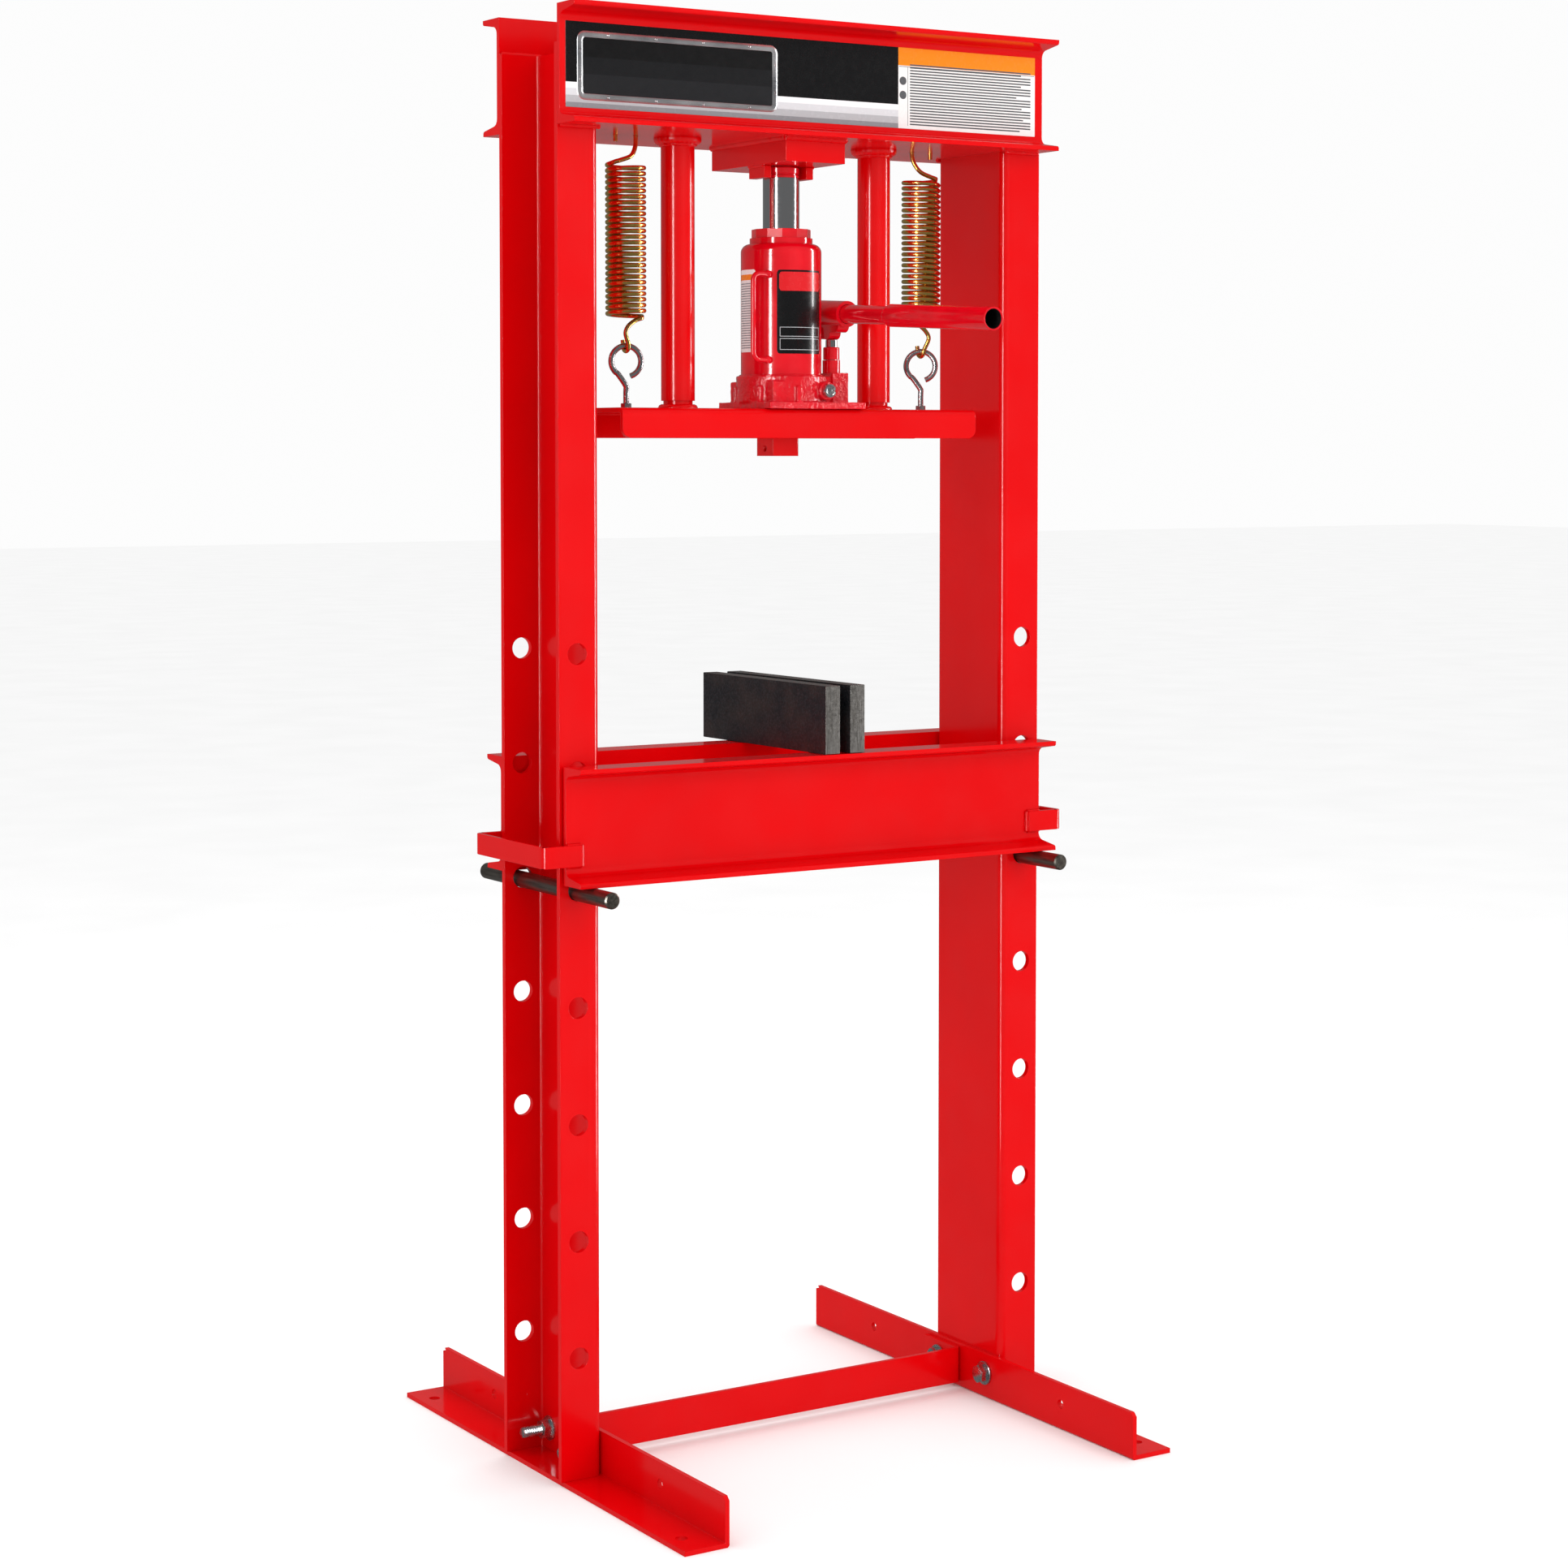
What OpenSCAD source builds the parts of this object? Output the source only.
/* [Frame] */
// Overall width over the two uprights
frame_w = 600; // [570:1:800]
// Height of the top of the beam above the floor
frame_h = 1502; // [1400:1:1850]
// Depth of an upright, front to back
upright_d = 126; // [120:1:160]
// Width of an upright flange, web included
upright_flange = 48; // [40:1:70]
// Sheet thickness of the uprights
upright_t = 6; // [4:0.5:8]
// Outside bend radius of the uprights
upright_bend_r = 9; // [8:0.5:12]
// How far the uprights stop below the top of the beam
upright_drop = 38; // [10:1:80]

/* [Pin holes] */
// Height of the lowest pair of pin holes
hole_z = 130.5; // [110:0.5:180]
// Spacing of the pin holes
hole_pitch = 120; // [100:1:150]
// Number of pin holes in each flange
hole_count = 7; // [5:1:8]
// Diameter of a pin hole
hole_d = 22; // [20:0.5:25]
// Distance of the pin holes from the free edge of the flange
hole_edge = 21; // [18:0.5:24]
// Which pin hole carries the bed, counted from zero
bed_hole = 4; // [3:1:4]

/* [Beam channels] */
// Height of the beam channels
beam_h = 120; // [100:1:140]
// Flange width of the beam and bed channels
channel_flange = 36; // [32:0.5:50]
// Web thickness of the beam and bed channels
channel_web = 5; // [4:0.25:7]
// Flange thickness at the root
channel_root_t = 10; // [9:0.25:12]
// Flange thickness at the tip
channel_tip_t = 5; // [4:0.25:6.5]
// Root fillet of the channels
channel_fillet = 8; // [5:0.5:9]

/* [Head] */
// Thickness of the plate between the beam channels
head_plate_t = 8; // [6:0.5:12]
// Width of the bolster block
bolster_w = 74; // [64:1:90]
// Length of the bolster block, front to back
bolster_l = 150; // [120:1:170]
// Thickness of the bolster block
bolster_t = 25; // [20:1:30]
// Height of the ears beside the saddle
ear_h = 13; // [8:1:16]
// Length of an ear, front to back
ear_l = 31; // [24:1:36]
// Thickness of an ear
ear_t = 9; // [6:0.5:12]

/* [Guides] */
// Distance between the axis of a guide and the axis of its spring
guide_to_spring = 62.5; // [50:0.5:70]
// Outside diameter of a guide tube
guide_tube_d = 35.5; // [34:0.5:40]
// Wall of a guide tube
guide_tube_wall = 2.25; // [2:0.25:3]
// Radial play between a guide tube and its inner tube
guide_play = 0.1; // [0.05:0.05:0.1]
// Wall of the inner guide tube
guide_inner_wall = 2.5; // [2:0.25:4]
// Gap between the guide tube and the carriage at the top stop
guide_gap = 8; // [6:0.5:12]
// Free room above an inner guide tube at the top stop
guide_room = 37; // [20:1:60]

/* [Carriage] */
// Gap between an end of the carriage and the upright
carriage_end_gap = 31; // [26:0.5:40]
// Depth of the carriage
carriage_d = 110; // [105:1:112]
// Height of the carriage sides
carriage_h = 31; // [26:1:40]
// Sheet thickness of the carriage
carriage_t = 5; // [4:0.5:6]
// Side of the square ram socket
stub_side = 32; // [28:1:38]
// Wall of the square ram socket
stub_wall = 4; // [3:0.5:5]
// How far the ram socket reaches below the carriage
stub_below = 19; // [14:1:30]
// Distance of the set screw hole above the end of the ram socket
stub_hole_up = 8; // [6:0.5:10]
// Diameter of the set screw hole
stub_hole_d = 6.5; // [5:0.5:8]

/* [Springs] */
// Distance of a spring from the end of the carriage
spring_end = 35; // [26:0.5:40]
// Outside diameter of a spring
spring_d = 43; // [38:0.5:46]
// Wire diameter of a spring
spring_wire = 4.5; // [3.5:0.25:5]
// Distance between the coils of the left spring and the top of its eye
spring_hook_left = 25.5; // [22:0.5:60]
// Distance between the coils of the right spring and the top of its eye
spring_hook_right = 28.5; // [22:0.5:60]
// Gap between the head plate and the top coil
spring_top_gap = 28; // [22:1:34]
// Distance between the two hook holes of a spring
hook_span = 24; // [18:0.5:28]
// Diameter of a hook hole
hook_hole_d = 7; // [6:0.5:9]
// Diameter of the eye bolt wire
eye_wire = 6; // [5:0.5:7]
// Outside diameter of the eye
eye_d = 38; // [32:0.5:42]
// Opening of the eye, in degrees
eye_open = 32; // [10:1:60]
// Height of the middle of the eye above the carriage
eye_up = 48.5; // [42:0.5:60]
// Width across flats of an eye bolt nut
eye_nut_af = 10; // [9:0.5:13]
// Thickness of an eye bolt nut
eye_nut_t = 5; // [4:0.5:6]

/* [Jack] */
// Place of the jack in front of the middle plane
jack_front = 7; // [0:0.5:10]
// How far the base plate reaches past the cast base in front and behind
jack_plate_edge = 4; // [2:0.5:8]
// Thickness of the base plate
jack_plate_t = 7; // [5:0.5:10]
// Height of the cast base above its plate
jack_base_h = 28; // [22:1:34]
// Diameter of the tank
tank_d = 86; // [76:1:104]
// Height of the tank
tank_h = 140; // [120:1:170]
// Width of the tank shoulder
tank_shoulder = 9; // [6:0.5:12]
// Outside diameter of the packing ring
ring_d = 67; // [64:0.5:70]
// Height of the packing ring
ring_h = 6; // [4:0.5:9]
// Outside diameter of the top nut
nut_d = 63; // [58:0.5:66]
// Height of the top nut
nut_h = 9.5; // [7:0.5:14]
// Diameter of the ram
ram_d = 39; // [34:0.5:42]
// Height of the painted saddle cap on the ram
saddle_h = 12; // [8:0.5:14]
// Length of ram in sight between the top nut and the saddle cap
ram_out = 54.2; // [50:0.1:90]
// Length of ram kept inside the tank
ram_inside = 112; // [105:1:118]
// Wire diameter of the carry handle
carry_wire = 5.5; // [4:0.25:7]
// Height of the carry handle
carry_h = 90; // [70:1:100]
// Stand-off of the carry handle
carry_out = 22; // [18:1:30]
// Height of the middle of the carry handle above the cast base
carry_mid = 61.5; // [55:0.5:70]
// Distance of the release valve from the jack axis
valve_x = 27; // [22:0.5:30]
// Diameter of the release valve head
valve_d = 14; // [12:0.5:16]
// Diameter of the release valve stem
valve_stem_d = 8.8; // [8:0.2:9.6]
// Diameter of the filler plug
filler_d = 11; // [8:0.5:13]
// Height of the filler plug above the cast base
filler_up = 101; // [80:1:104]

/* [Pump] */
// Distance of the pump axis from the cast base of the tank
pump_gap = 16; // [15:0.5:22]
// Diameter of the pump plunger
plunger_d = 12.5; // [10:0.5:14]
// Outside diameter of the pump cylinder
pump_cyl_d = 19; // [16:0.5:20]
// Height of the pump cylinder above the cast base
pump_cyl_h = 18; // [12:1:22]
// Height of the barrel axis above the pump cylinder
barrel_up = 51; // [48:0.5:58]
// Outside diameter of the handle barrel
barrel_d = 28; // [27:0.5:32]
// Length of the barrel in front of the plunger
barrel_front = 30; // [24:1:34]
// Length of the barrel behind the plunger
barrel_back = 30; // [26:1:36]
// Distance between the plunger and the lever pivot
pivot_back = 16; // [14:0.5:20]
// Distance of the pivots below the underside of the barrel
pivot_below = 6; // [6:0.5:10]
// Radius of the round ends of the lever cheek
cheek_r = 8; // [7:0.5:9]
// Width of the lever cheek
cheek_w = 14; // [12:0.5:16]
// Droop of the handle at rest, in degrees
handle_droop = 3; // [0:0.5:6]
// Diameter of the pivot pin
pivot_d = 7; // [6:0.5:8]
// Outside diameter of the handle tube
handle_d = 24; // [22:0.5:26]
// Outside diameter of the swaged end of the handle tube
handle_neck_d = 20; // [18:0.5:21.5]
// Wall of the handle tube
handle_wall = 1.8; // [1.5:0.1:2.5]
// Length of the handle tube
handle_l = 320; // [220:1:400]
// Length of the swaged end outside the barrel
handle_neck_out = 84; // [60:1:100]

/* [Bed] */
// Height of the bed channels
bed_h = 120; // [100:1:140]
// How far the bed channels stop short of the side of the frame
bed_inset = 3; // [0:0.5:8]
// Gap between a bed channel and the uprights
bed_gap = 3; // [2:0.5:5]
// Height of the bed straps
strap_h = 22; // [18:1:30]
// Thickness of the bed straps
strap_t = 5; // [4:0.5:6]
// Gap between a strap and the outside of an upright
strap_gap = 20; // [12:1:26]
// Length of strap welded along a channel
strap_lap = 17; // [12:1:30]
// Height of the straps above the bottom of the bed
strap_up = 19; // [19:1:40]
// Diameter of a bed support pin
pin_d = 17; // [14:0.5:19]
// How far a bed support pin reaches past the bed channels
pin_out = 35.5; // [28:0.5:50]

/* [Arbor plates] */
// Thickness of an arbor plate
arbor_t = 18; // [12:0.5:22]
// Height of an arbor plate
arbor_h = 72; // [60:1:80]
// Length of an arbor plate
arbor_l = 250; // [215:1:260]
// Middle of the gap between the two plates
arbor_mid_x = 20.5; // [0:0.5:40]
// Gap between the two plates
arbor_gap = 13; // [6:0.5:30]
// Place of the plates behind the middle plane
arbor_mid_y = 24; // [0:0.5:30]

/* [Feet] */
// Length of a foot
foot_l = 610; // [500:1:700]
// Leg width of the foot angle
foot_leg = 50; // [46:0.5:60]
// Thickness of the foot angle
foot_t = 5; // [4:0.5:6]
// Distance of a floor hole from the end of the foot
floor_hole_end = 35; // [25:1:45]
// Distance of a floor hole from the heel of the angle
floor_hole_out = 33; // [30:0.5:38]
// Diameter of a floor hole
floor_hole_d = 12; // [9:0.5:14]
// Distance of a spare hole from the middle of the foot
spare_hole_y = 180; // [150:1:220]
// Diameter of a spare hole
spare_hole_d = 10; // [8:0.5:13]
// Distance of a foot bolt from the middle of the foot
bolt_y = 41; // [38:0.5:42]
// Height of the foot bolts
bolt_z = 28; // [26:0.5:30]
// Thread diameter of the foot bolts
bolt_d = 12; // [10:0.5:12]
// Thread length of a foot bolt outside its nut
bolt_out = 22; // [12:1:30]
// Width of the brace bar
brace_h = 39; // [34:1:42]
// Thickness of the brace bar
brace_t = 5; // [4:0.5:6]
// Place of the brace bar behind the middle plane
brace_y = 6; // [0:0.5:8]
// Length of a bent tab of the brace bar
brace_tab = 66; // [62:1:72]

/* [Hidden] */
$fn = 48;

paint = "#d8000f";
paint_dark = "#b8000d";
// Gap between parts of different bodies that rest on or pass each other
rest_gap = 0.3;
// Radial running clearance of the rams, plungers and stems
slide_play = 0.1;
// How far a cutting body passes the surface that it cuts
cut = 1;

web_x = frame_w / 2 - upright_flange;           // inner face of an upright web
hole_x = frame_w / 2 - hole_edge;
half_d = upright_d / 2;
upright_top = frame_h - upright_drop;
beam_z = frame_h - beam_h;
bolster_z = beam_z - bolster_t;
ear_gap = 2.3;                                  // side gap between the ram and an ear

// The jack stands between the carriage and the bolster, so its height places the carriage.
saddle_top = bolster_z - rest_gap;
saddle_bottom = saddle_top - saddle_h;
nut_top = saddle_bottom - ram_out;
ring_top = nut_top - nut_h;
tank_top = ring_top - ring_h;
base_top = tank_top - tank_h;
plate_top = base_top - jack_base_h;
carriage_z = plate_top - jack_plate_t;
ram_bottom = tank_top - ram_inside;
ram_floor = 3;                                  // room under the ram inside the tank

carriage_l = 2 * (web_x - carriage_end_gap);
carriage_corner = 10;                           // radius of the lower corners of the carriage
spring_x = carriage_l / 2 - spring_end;
guide_x = spring_x - guide_to_spring;
guide_tube_bottom = carriage_z + guide_gap;
guide_inner_d = guide_tube_d - 2 * guide_tube_wall - 2 * guide_play;
guide_inner_l = beam_z - carriage_z - guide_room;
guide_cap = 2;                                  // closed top of a guide tube
guide_foot = 10;                                // closed bottom of an inner guide tube
socket_roof = 6;                                // closed top of the ram socket

eye_z = carriage_z + eye_up;
eye_top = eye_z + eye_d / 2;
spring_top = beam_z - spring_top_gap;
hook_over = 5;                                  // how far a top hook rises over the head plate
hook_play = 1;                                  // gap between a bottom hook and the eye wire
shank_short = 1.5;                              // how far an eye shank stops above the carriage edge

jack_y = -jack_front;
tank_seat = 6;                                  // depth of the tank in the base casting
base_rim = 5;                                   // wall of the casting round the tank
base_r = tank_d / 2 + base_rim;
plate_short = 2;                                // how far the plate stops under the casting at the left
lug_w = 17;
lug_in = 13.5;                                  // middle of a corner lug inside the casting's radius
lug_back = 11;                                  // back face of a lug inside the casting's radius
lug_drop = 6;                                   // how far a lug stays under the top of the casting
valve_z = plate_top + 12;
valve_boss = 2;                                 // how far the valve boss stands out of the casting
valve_wall = 3;                                 // wall of the valve boss
valve_bore = 16;                                // depth of the valve bore
valve_head_l = 5;
valve_slot = 2;                                 // width and depth of the slot
block_half_w = 10;
block_half_l = 18;
block_extra = 4;                                // how far the pump block rises over the casting
neck_half_l = 14;                               // half length of the neck between tank and pump block
carry_bend = 8;                                 // bend radius of the carry handle
carry_turn = 220;                               // place of the carry handle round the tank
carry_lean = -26;                               // turn of the loop about its own feet
plug_in = 1;                                    // depth of the filler plug in the tank
plug_l = 7;

pump_x = base_r + pump_gap;
pump_cyl_top = base_top + pump_cyl_h;
barrel_z = pump_cyl_top + barrel_up;
pivot_drop = barrel_d / 2 + pivot_below;
pivot_y = jack_y + pivot_back;
pivot_z = barrel_z - pivot_drop;
plunger_top = pivot_z - pivot_back * sin(handle_droop) - cheek_r - 2 * rest_gap;
plunger_inside = 22;
barrel_play = 0.3;
barrel_bore_d = handle_neck_d + 2 * barrel_play;
barrel_bottom_t = 5;
barrel_lip = 6;                                 // how far the barrel stands out in front of the cheek
neck_taper = 4;                                 // length of the taper of the handle tube
link_t = 4;
link_r = pivot_below - 0.5;                     // half width of a link, clear of the barrel above it
pivot_out = 1.5;                                // how far the pivot pin stands out of a link

bed_l = frame_w - 2 * bed_inset;
pin_r = pin_d / 2;
pin_z = hole_z + bed_hole * hole_pitch - (hole_d - pin_d) / 2 + rest_gap;
bed_z = pin_z + pin_r + rest_gap;
bed_top = bed_z + bed_h;
bed_in = half_d + bed_gap;                      // inner web face of a bed channel
strap_in_x = frame_w / 2 + strap_gap;
pin_l = 2 * (bed_in + channel_flange + pin_out);
pin_back = 2;                                   // how far a pin is pushed to the back
pin_chamfer = 1.5;
arbor_z = bed_top + rest_gap;

foot_x = web_x - foot_t;                        // heel face of a foot
floor_hole_y = foot_l / 2 - floor_hole_end;
bolt_head_h = 8;
bolt_flange_d = 26;
bolt_flange_t = 2.5;
bolt_hex_af = 18;
nut_thick = 11;
bolt_play = 0.5;
brace_bottom = foot_t + 2;

function hex_d(af) = af / cos(30);

// Rounded rectangle with its lower left corner at the origin.
module rounded_rect(w, h, r) {
    translate([r, 0]) square([w - 2 * r, h]);
    translate([0, r]) square([w, h - 2 * r]);
    for (x = [r, w - r], y = [r, h - r]) translate([x, y]) circle(r);
}

// Bent sheet channel: web on the Y axis, flanges towards +X, web width w.
module bent_channel(w, flange, t, r) {
    difference() {
        translate([0, -w / 2]) rounded_rect(flange + r + cut, w, r);
        translate([t, -w / 2 + t]) rounded_rect(flange + 2 * r, w - 2 * t, r - t > 0.5 ? r - t : 0.5);
        translate([flange, -w]) square([2 * r + 2 * cut, 2 * w]);
    }
}

// Outline of the lower half of a rolled channel: web, root fillet and tapered flange with a round tip.
function rolled_half(h) =
    let (slope = atan((channel_root_t - channel_tip_t) / (channel_flange - channel_web)),
         r = channel_fillet,
         centre = [channel_web + r, channel_root_t - r * tan(slope) + r / cos(slope)],
         tip_r = channel_tip_t * 0.6,
         tip = [channel_flange - tip_r, channel_tip_t - tip_r + tip_r * tan(slope)])
    concat([[0, h / 2], [0, 0], [channel_flange, 0]],
           [for (a = [0:15:90 - slope]) tip + tip_r * [cos(a), sin(a)]],
           [for (i = [0:6]) let (a = 270 - slope - i * (90 - slope) / 6) centre + r * [cos(a), sin(a)]],
           [[channel_web, h / 2]]);

// Rolled channel of height h: web at x = 0, flanges towards +X.
module rolled_channel(h) {
    lower = rolled_half(h);
    upper = [for (i = [len(lower) - 2:-1:1]) [lower[i][0], h - lower[i][1]]];
    polygon(concat(lower, upper));
}

// Channel of length l along X, flanges towards the front, web back face at y = 0.
module channel_bar(h, l) {
    translate([-l / 2, 0, 0]) rotate([90, 0, 90]) linear_extrude(l) mirror([1, 0]) rolled_channel(h);
}

// side is 1 for the right, -1 for the left.
module on_side(side) {
    if (side > 0) children();
    else mirror([1, 0, 0]) children();
}

module upright(side) {
    color(paint) on_side(side) difference() {
        translate([web_x, 0, foot_t]) linear_extrude(upright_top - foot_t)
            bent_channel(upright_d, upright_flange, upright_t, upright_bend_r);
        for (k = [0:hole_count - 1]) translate([hole_x, half_d + cut, hole_z + k * hole_pitch])
            rotate([90, 0, 0]) cylinder(h = upright_d + 2 * cut, d = hole_d);
        for (y = [-bolt_y, bolt_y]) translate([web_x - cut, y, bolt_z])
            rotate([0, 90, 0]) cylinder(h = upright_t + 2 * cut, d = bolt_d + 2 * bolt_play);
    }
}

module beam_front() {
    color(paint) translate([0, -half_d, beam_z]) channel_bar(beam_h, frame_w);
}

module beam_back() {
    color(paint) translate([0, half_d, beam_z]) mirror([0, 1, 0]) channel_bar(beam_h, frame_w);
}

module head_plate() {
    color(paint_dark) difference() {
        translate([-web_x, -half_d, beam_z]) cube([2 * web_x, upright_d, head_plate_t]);
        for (s = [-1, 1], e = [-1, 1]) translate([s * spring_x + e * hook_span / 2, 0, beam_z - cut])
            cylinder(h = head_plate_t + 2 * cut, d = hook_hole_d);
    }
}

module bolster_block() {
    color(paint_dark) translate([-bolster_w / 2, -bolster_l / 2, bolster_z])
        cube([bolster_w, bolster_l, bolster_t]);
}

module saddle_ears() {
    ear_x = ram_d / 2 + ear_gap + ear_t / 2;
    color(paint_dark) for (s = [-1, 1])
        translate([s * ear_x - ear_t / 2, jack_y - ear_l / 2, bolster_z - ear_h]) cube([ear_t, ear_l, ear_h]);
}

module guide_tube(side) {
    color(paint) translate([side * guide_x, 0, guide_tube_bottom]) difference() {
        cylinder(h = beam_z - guide_tube_bottom, d = guide_tube_d);
        translate([0, 0, -cut]) cylinder(h = beam_z - guide_tube_bottom - guide_cap + cut,
                                         d = guide_tube_d - 2 * guide_tube_wall);
    }
}

module guide_inner(side) {
    color(paint) translate([side * guide_x, 0, carriage_z]) difference() {
        cylinder(h = guide_inner_l, d = guide_inner_d);
        translate([0, 0, guide_foot]) cylinder(h = guide_inner_l, d = guide_inner_d - 2 * guide_inner_wall);
    }
}

// Side view of the carriage: its lower corners are rounded.
module carriage_side() {
    r = carriage_corner;
    translate([-carriage_l / 2, r]) square([carriage_l, carriage_h]);
    translate([-carriage_l / 2 + r, 0]) square([carriage_l - 2 * r, carriage_h]);
    for (s = [-1, 1]) translate([s * (carriage_l / 2 - r), r]) circle(r);
}

module carriage() {
    color(paint) difference() {
        intersection() {
            translate([-carriage_l / 2, 0, carriage_z]) rotate([0, 90, 0]) linear_extrude(carriage_l)
                bent_channel(carriage_d, carriage_h, carriage_t, carriage_t + 2);
            translate([0, carriage_d / 2 + cut, carriage_z - carriage_h]) rotate([90, 0, 0])
                linear_extrude(carriage_d + 2 * cut) carriage_side();
        }
        for (s = [-1, 1]) translate([s * spring_x, 0, carriage_z - carriage_t - cut])
            cylinder(h = carriage_t + 2 * cut, d = eye_wire + 2 * bolt_play);
    }
}

module ram_socket() {
    top = carriage_z - carriage_t;
    bottom = carriage_z - carriage_h - stub_below;
    color(paint) difference() {
        translate([-stub_side / 2, -stub_side / 2, bottom]) cube([stub_side, stub_side, top - bottom]);
        translate([0, 0, bottom - cut])
            cylinder(h = top - bottom - socket_roof + cut, d = stub_side - 2 * stub_wall);
        translate([-stub_side, 0, bottom + stub_hole_up]) rotate([0, 90, 0])
            cylinder(h = stub_side, d = stub_hole_d);
    }
}

// Closed coil body with its hooks: a tube for the coils and straight wires for the two hooks.
module spring(side, hook) {
    top = spring_top;
    coils = spring_top - eye_top - hook;
    mean_r = (spring_d - spring_wire) / 2;
    hook_z = eye_top - eye_wire - rest_gap - spring_wire / 2;
    reach = eye_wire / 2 + hook_play;
    over_z = beam_z + head_plate_t + hook_over;
    color("goldenrod") translate([side * spring_x, 0, 0]) {
        translate([0, 0, top - coils]) difference() {
            cylinder(h = coils, d = spring_d);
            translate([0, 0, -cut]) cylinder(h = coils + 2 * cut, d = spring_d - 2 * spring_wire);
        }
        translate([-mean_r - spring_wire / 2, -spring_wire / 2, top - spring_wire])
            cube([2 * mean_r + spring_wire, spring_wire, spring_wire]);
        translate([-mean_r - spring_wire / 2, -spring_wire / 2, top - coils])
            cube([2 * mean_r + spring_wire, spring_wire, spring_wire]);
        translate([hook_span / 2, 0, top - spring_wire / 2])
            cylinder(h = over_z - top + spring_wire, d = spring_wire);
        translate([-hook_span / 2, 0, beam_z + hook_play])
            cylinder(h = over_z - beam_z, d = spring_wire);
        translate([-hook_span / 2, 0, over_z + spring_wire / 2]) rotate([0, 90, 0])
            cylinder(h = hook_span, d = spring_wire);
        translate([0, reach + spring_wire / 2, hook_z])
            cylinder(h = top - coils + spring_wire - hook_z, d = spring_wire);
        translate([0, reach + spring_wire, hook_z]) rotate([90, 0, 0])
            cylinder(h = 2 * (reach + spring_wire), d = spring_wire);
        translate([-spring_wire / 2, 0, top - coils]) cube([spring_wire, reach + spring_wire, spring_wire]);
    }
}

// Bent wire eye bolt: an open ring in the XZ plane over a straight shank.
module eye_bolt(side) {
    ring_r = (eye_d - eye_wire) / 2;
    shank_bottom = carriage_z - carriage_h + shank_short;
    color("silver") translate([side * spring_x, 0, 0]) {
        translate([0, 0, eye_z]) rotate([90, 0, 0]) rotate([0, 0, -90])
            rotate_extrude(angle = 360 - eye_open) translate([ring_r, 0]) circle(d = eye_wire);
        translate([0, 0, shank_bottom]) cylinder(h = eye_z - ring_r - shank_bottom, d = eye_wire);
    }
}

module eye_nuts() {
    color("silver") for (s = [-1, 1], z = [carriage_z, carriage_z - carriage_t - eye_nut_t])
        translate([s * spring_x, 0, z]) difference() {
            cylinder(h = eye_nut_t, d = hex_d(eye_nut_af), $fn = 6);
            translate([0, 0, -cut]) cylinder(h = eye_nut_t + 2 * cut, d = eye_wire);
        }
}

module jack_base() {
    lug_x = base_r - lug_in;
    plate_half_d = base_r + jack_plate_edge;
    plate_left = plate_short - base_r;
    boss_l = base_r / 2 + valve_boss;
    color(paint) translate([0, jack_y, 0]) difference() {
        union() {
            translate([plate_left, -plate_half_d, carriage_z])
                cube([pump_x + block_half_w - plate_left, 2 * plate_half_d, jack_plate_t]);
            translate([0, 0, plate_top]) cylinder(h = jack_base_h, r = base_r);
            for (s = [-1, 1]) translate([lug_back - base_r, s * lug_x - lug_w / 2, plate_top])
                cube([lug_w, lug_w, jack_base_h - lug_drop]);
            translate([pump_x - block_half_w, -block_half_l, plate_top])
                cube([2 * block_half_w, 2 * block_half_l, jack_base_h + block_extra]);
            translate([base_r / 2, -neck_half_l, plate_top])
                cube([pump_x - base_r / 2, 2 * neck_half_l, jack_base_h]);
            translate([valve_x, -base_r / 2, valve_z]) rotate([90, 0, 0])
                cylinder(h = boss_l, d = valve_d + 2 * valve_wall);
        }
        translate([0, 0, base_top - tank_seat]) cylinder(h = tank_seat + cut, d = tank_d);
        translate([pump_x, 0, pump_cyl_top - plunger_inside - pump_cyl_h])
            cylinder(h = plunger_inside + pump_cyl_h + cut, d = plunger_d + 2 * slide_play);
        translate([valve_x, -base_r - valve_boss - cut, valve_z]) rotate([-90, 0, 0])
            cylinder(h = valve_bore + cut, d = valve_stem_d + 2 * slide_play);
    }
}

module jack_tank() {
    r = tank_d / 2;
    full_h = tank_h + tank_seat;
    color(paint) translate([0, jack_y, base_top - tank_seat]) difference() {
        rotate_extrude($fn = 96) {
            square([r, full_h - tank_shoulder]);
            square([r - tank_shoulder, full_h]);
            translate([r - tank_shoulder, full_h - tank_shoulder]) circle(tank_shoulder);
        }
        translate([0, 0, full_h - ram_inside - ram_floor])
            cylinder(h = ram_inside + ram_floor + cut, d = ram_d + 2 * slide_play);
    }
}

module packing_ring() {
    color(paint) translate([0, jack_y, tank_top]) difference() {
        cylinder(h = ring_h, d = ring_d);
        translate([0, 0, -cut]) cylinder(h = ring_h + 2 * cut, d = ram_d + 2 * slide_play);
    }
}

module top_nut() {
    color(paint) translate([0, jack_y, ring_top]) difference() {
        cylinder(h = nut_h, d = nut_d, $fn = 12);
        translate([0, 0, -cut]) cylinder(h = nut_h + 2 * cut, d = ram_d + 2 * slide_play);
    }
}

module jack_ram() {
    color("silver") translate([0, jack_y, ram_bottom]) cylinder(h = saddle_bottom - ram_bottom, d = ram_d);
}

module saddle_cap() {
    color(paint) translate([0, jack_y, saddle_bottom]) cylinder(h = saddle_h, d = ram_d);
}

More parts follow.
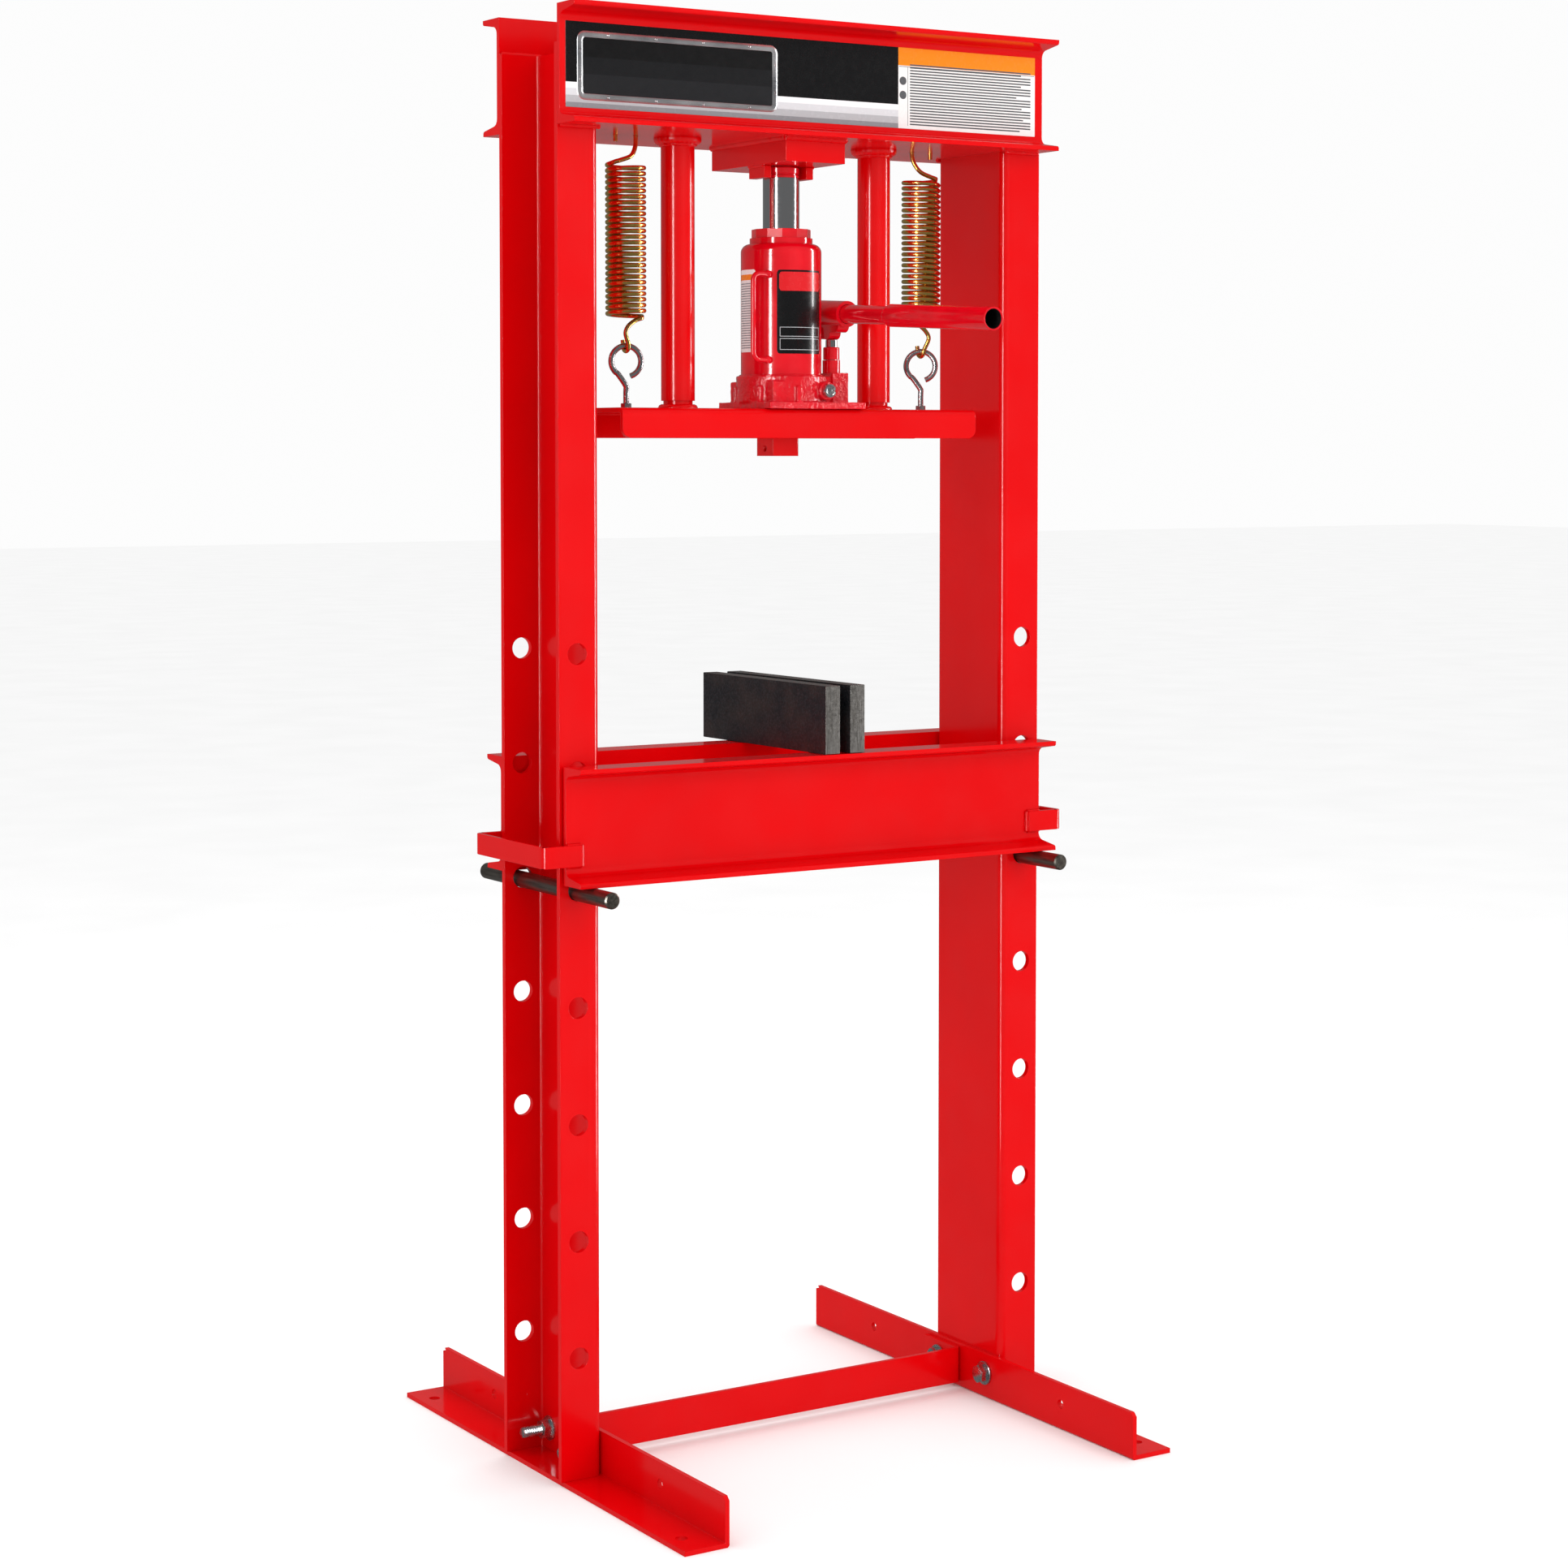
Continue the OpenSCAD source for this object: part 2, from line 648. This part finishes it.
// Wire loop welded to the tank by two balls.
module carry_handle() {
    ball_r = carry_wire * 0.75;
    seat = tank_d / 2 + ball_r * 0.7;
    half_h = carry_h / 2 - carry_bend;
    leg = carry_out - carry_bend;
    color(paint) translate([0, jack_y, base_top + carry_mid]) rotate([0, 0, carry_turn])
        translate([seat, 0, 0]) rotate([0, 0, carry_lean]) {
            for (s = [-1, 1]) translate([0, 0, s * carry_h / 2]) rotate([0, 90, 0]) rotate_extrude()
                intersection() {
                    union() {
                        circle(ball_r);
                        square([carry_wire / 2, leg]);
                    }
                    translate([0, -ball_r]) square([ball_r, ball_r + leg]);
                }
            translate([carry_out, 0, -half_h]) cylinder(h = 2 * half_h, d = carry_wire);
            for (s = [-1, 1]) translate([leg, 0, s * half_h]) rotate([90, 0, 0])
                rotate([0, 0, s > 0 ? 0 : -90]) rotate_extrude(angle = 90)
                    translate([carry_bend, 0]) circle(d = carry_wire);
        }
}

module pump_cylinder() {
    color(paint) translate([pump_x, jack_y, base_top + block_extra]) difference() {
        cylinder(h = pump_cyl_h - block_extra, d = pump_cyl_d);
        translate([0, 0, -cut]) cylinder(h = pump_cyl_h + 2 * cut, d = plunger_d + 2 * slide_play);
    }
}

module pump_plunger() {
    bottom = pump_cyl_top - plunger_inside;
    color("silver") translate([pump_x, jack_y, bottom]) cylinder(h = plunger_top - bottom, d = plunger_d);
}

// Two flat links that stand behind the pump block and carry the lever pivot.
module pump_links() {
    r = link_r;
    link_x = cheek_w / 2 + rest_gap + link_t / 2;
    behind = block_half_l - pivot_back;
    block_l = 2 * block_half_l;
    color(paint) for (s = [-1, 1])
        translate([pump_x + s * link_x - link_t / 2, pivot_y, 0]) difference() {
            union() {
                translate([0, -r, plate_top]) cube([link_t, 2 * r, pivot_z - plate_top]);
                translate([0, 0, pivot_z]) rotate([0, 90, 0]) cylinder(h = link_t, r = r);
            }
            translate([-cut, 0, pivot_z]) rotate([0, 90, 0]) cylinder(h = link_t + 2 * cut, d = pivot_d);
            translate([-cut, behind - block_l, plate_top - cut])
                cube([link_t + 2 * cut, block_l, jack_base_h + block_extra + cut]);
        }
}

module pivot_pin() {
    l = cheek_w + 2 * (rest_gap + link_t + pivot_out);
    color("silver") translate([pump_x - l / 2, pivot_y, pivot_z]) rotate([0, 90, 0])
        cylinder(h = l, d = pivot_d);
}

// Lever head: barrel for the handle over a cheek with the pivot and the plunger nose.
module handle_socket() {
    nose_front = barrel_front - barrel_lip;
    color(paint) translate([pump_x, pivot_y, pivot_z]) rotate([handle_droop, 0, 0]) difference() {
        union() {
            translate([0, -pivot_back - barrel_front, pivot_drop]) rotate([-90, 0, 0])
                cylinder(h = barrel_front + barrel_back, d = barrel_d);
            for (y = [0, -pivot_back]) translate([-cheek_w / 2, y, 0]) rotate([0, 90, 0])
                cylinder(h = cheek_w, r = cheek_r);
            translate([-cheek_w / 2, -pivot_back - nose_front + cheek_r, cheek_r]) rotate([0, 90, 0])
                cylinder(h = cheek_w, r = cheek_r);
            translate([-cheek_w / 2, -pivot_back - nose_front + cheek_r, 0])
                cube([cheek_w, pivot_back + nose_front, pivot_drop]);
            translate([-cheek_w / 2, -pivot_back - nose_front, cheek_r])
                cube([cheek_w, nose_front, pivot_drop - cheek_r]);
        }
        translate([0, -pivot_back - barrel_front - cut, pivot_drop]) rotate([-90, 0, 0])
            cylinder(h = barrel_front + barrel_back - barrel_bottom_t + cut, d = barrel_bore_d);
        translate([-cheek_w, 0, 0]) rotate([0, 90, 0])
            cylinder(h = 2 * cheek_w, d = pivot_d + 2 * slide_play);
    }
}

module handle_tube() {
    neck_in = barrel_front + barrel_back - barrel_bottom_t - rest_gap;
    start = -pivot_back + barrel_back - barrel_bottom_t - rest_gap;
    body_l = handle_l - neck_in - handle_neck_out;
    color(paint) translate([pump_x, pivot_y, pivot_z]) rotate([handle_droop, 0, 0])
        translate([0, start, pivot_drop]) rotate([90, 0, 0]) difference() {
            union() {
                cylinder(h = neck_in + handle_neck_out, d = handle_neck_d);
                translate([0, 0, neck_in + handle_neck_out - neck_taper])
                    cylinder(h = neck_taper, d1 = handle_neck_d, d2 = handle_d);
                translate([0, 0, neck_in + handle_neck_out]) cylinder(h = body_l, d = handle_d);
            }
            translate([0, 0, -cut]) cylinder(h = handle_l + 2 * cut, d = handle_neck_d - 2 * handle_wall);
            translate([0, 0, neck_in + handle_neck_out])
                cylinder(h = body_l + cut, d = handle_d - 2 * handle_wall);
        }
}

module release_valve() {
    face = jack_y - base_r - valve_boss - rest_gap;
    stem_in = valve_bore - 3;
    color("silver") translate([valve_x, 0, valve_z]) difference() {
        union() {
            translate([0, face, 0]) rotate([90, 0, 0]) cylinder(h = valve_head_l, d = valve_d);
            translate([0, face + stem_in, 0]) rotate([90, 0, 0])
                cylinder(h = stem_in + cut, d = valve_stem_d);
        }
        translate([-valve_d / 2 - cut, face - valve_head_l - cut, -valve_slot / 2])
            cube([valve_d + 2 * cut, valve_slot + cut, valve_slot]);
    }
}

module filler_plug() {
    color(paint_dark) translate([0, jack_y + tank_d / 2 - plug_in, base_top + filler_up]) rotate([-90, 0, 0])
        cylinder(h = plug_l, d = filler_d);
}

module bed_channel_front() {
    color(paint) translate([0, -bed_in, bed_z]) channel_bar(bed_h, bed_l);
}

module bed_channel_back() {
    color(paint) translate([0, bed_in, bed_z]) mirror([0, 1, 0]) channel_bar(bed_h, bed_l);
}

// U strap that passes round the outside of an upright and ends on the channel webs.
module strap(side) {
    out_y = bed_in + channel_web + strap_t;
    out_x = strap_in_x + strap_t;
    leg = out_x - bed_l / 2 + strap_lap;
    color(paint) on_side(side) translate([out_x, 0, bed_z + strap_up]) linear_extrude(strap_h)
        mirror([1, 0]) bent_channel(2 * out_y, leg, strap_t, strap_t + 2);
}

module pin(side) {
    c = pin_chamfer;
    color("gray") translate([side * hole_x, pin_l / 2 + pin_back, pin_z]) rotate([90, 0, 0]) {
        translate([0, 0, c]) cylinder(h = pin_l - 2 * c, d = pin_d);
        cylinder(h = c, d1 = pin_d - 2 * c, d2 = pin_d);
        translate([0, 0, pin_l - c]) cylinder(h = c, d1 = pin_d, d2 = pin_d - 2 * c);
    }
}

module arbor_plate(side) {
    x = arbor_mid_x + side * (arbor_gap + arbor_t) / 2 - arbor_t / 2;
    color("dimgray") translate([x, arbor_mid_y - arbor_l / 2, arbor_z]) cube([arbor_t, arbor_l, arbor_h]);
}

// Angle section: heel at the origin, one leg along +X, one upwards.
module angle_section() {
    r = 3;
    translate([r, 0]) square([foot_leg - r, foot_t]);
    translate([0, r]) square([foot_t, foot_leg - r]);
    translate([r, r]) circle(r);
}

module foot(side) {
    corner = 6;
    color(paint) on_side(side) difference() {
        translate([foot_x, foot_l / 2, 0]) rotate([90, 0, 0]) linear_extrude(foot_l)
            angle_section();
        for (s = [-1, 1]) {
            translate([foot_x + floor_hole_out, s * floor_hole_y, -cut])
                cylinder(h = foot_t + 2 * cut, d = floor_hole_d);
            translate([foot_x - cut, s * spare_hole_y, bolt_z]) rotate([0, 90, 0])
                cylinder(h = foot_t + 2 * cut, d = spare_hole_d);
            translate([foot_x - cut, s * bolt_y, bolt_z]) rotate([0, 90, 0])
                cylinder(h = foot_t + 2 * cut, d = bolt_d + 2 * bolt_play);
            translate([foot_x - cut, s * foot_l / 2, foot_leg]) rotate([0, 90, 0]) rotate([0, 0, 45])
                translate([-corner / 2, -corner, 0]) cube([corner, 2 * corner, foot_t + 2 * cut]);
        }
    }
}

// Z-shaped brace: the left tab turns to the front, the right tab to the back.
module brace() {
    bar_l = 2 * foot_x;
    r = brace_t + 2;
    color(paint) for (s = [-1, 1]) translate([0, brace_y, brace_bottom])
        rotate([0, 0, s > 0 ? 0 : 180]) difference() {
            linear_extrude(brace_h) {
                translate([0, -brace_t / 2]) square([bar_l / 2 - r, brace_t]);
                translate([bar_l / 2 - r, r - brace_t / 2]) intersection() {
                    difference() {
                        circle(r);
                        circle(r - brace_t);
                    }
                    translate([0, -r]) square([r, r]);
                }
                translate([bar_l / 2 - brace_t, r - brace_t / 2]) square([brace_t, brace_tab - r]);
            }
            translate([bar_l / 2 - brace_t - cut, bolt_y - s * brace_y, bolt_z - brace_bottom])
                rotate([0, 90, 0]) cylinder(h = brace_t + 2 * cut, d = bolt_d + 2 * bolt_play);
        }
}

// Where a foot bolt head seats: on the brace tab or on the bare foot.
function head_x(side, end) = side == end ? foot_x - brace_t : foot_x;

module foot_bolts() {
    color("silver") for (s = [-1, 1], e = [-1, 1]) on_side(s) {
        seat = head_x(s, e);
        end = web_x + upright_t + nut_thick + bolt_out;
        translate([seat, e * bolt_y, bolt_z]) rotate([0, 90, 0]) {
            cylinder(h = end - seat, d = bolt_d);
            translate([0, 0, -bolt_flange_t]) cylinder(h = bolt_flange_t, d = bolt_flange_d);
            translate([0, 0, -bolt_head_h - bolt_flange_t])
                cylinder(h = bolt_head_h, d = hex_d(bolt_hex_af), $fn = 6);
        }
    }
}

module foot_nuts() {
    color("silver") for (s = [-1, 1], e = [-1, 1]) on_side(s)
        translate([web_x + upright_t, e * bolt_y, bolt_z]) rotate([0, 90, 0]) difference() {
            union() {
                cylinder(h = bolt_flange_t, d = bolt_flange_d);
                cylinder(h = nut_thick, d = hex_d(bolt_hex_af), $fn = 6);
            }
            translate([0, 0, -cut]) cylinder(h = nut_thick + 2 * cut, d = bolt_d);
        }
}

upright(-1);  // upright_left
upright(1);  // upright_right
beam_front();
beam_back();
head_plate();
bolster_block();
saddle_ears();
guide_tube(-1);  // guide_tube_left
guide_tube(1);  // guide_tube_right
guide_inner(-1);  // guide_inner_left
guide_inner(1);  // guide_inner_right
carriage();
ram_socket();
spring(-1, spring_hook_left);  // spring_left
spring(1, spring_hook_right);  // spring_right
eye_bolt(-1);  // eye_bolt_left
eye_bolt(1);  // eye_bolt_right
eye_nuts();
jack_base();
jack_tank();
packing_ring();
top_nut();
jack_ram();
saddle_cap();
carry_handle();
pump_cylinder();
pump_plunger();
pump_links();
pivot_pin();
handle_socket();
handle_tube();
release_valve();
filler_plug();
bed_channel_front();  // bed_front
bed_channel_back();  // bed_back
strap(-1);  // strap_left
strap(1);  // strap_right
pin(-1);  // pin_left
pin(1);  // pin_right
arbor_plate(-1);  // arbor_plate_left
arbor_plate(1);  // arbor_plate_right
foot(-1);  // foot_left
foot(1);  // foot_right
brace();
foot_bolts();
foot_nuts();
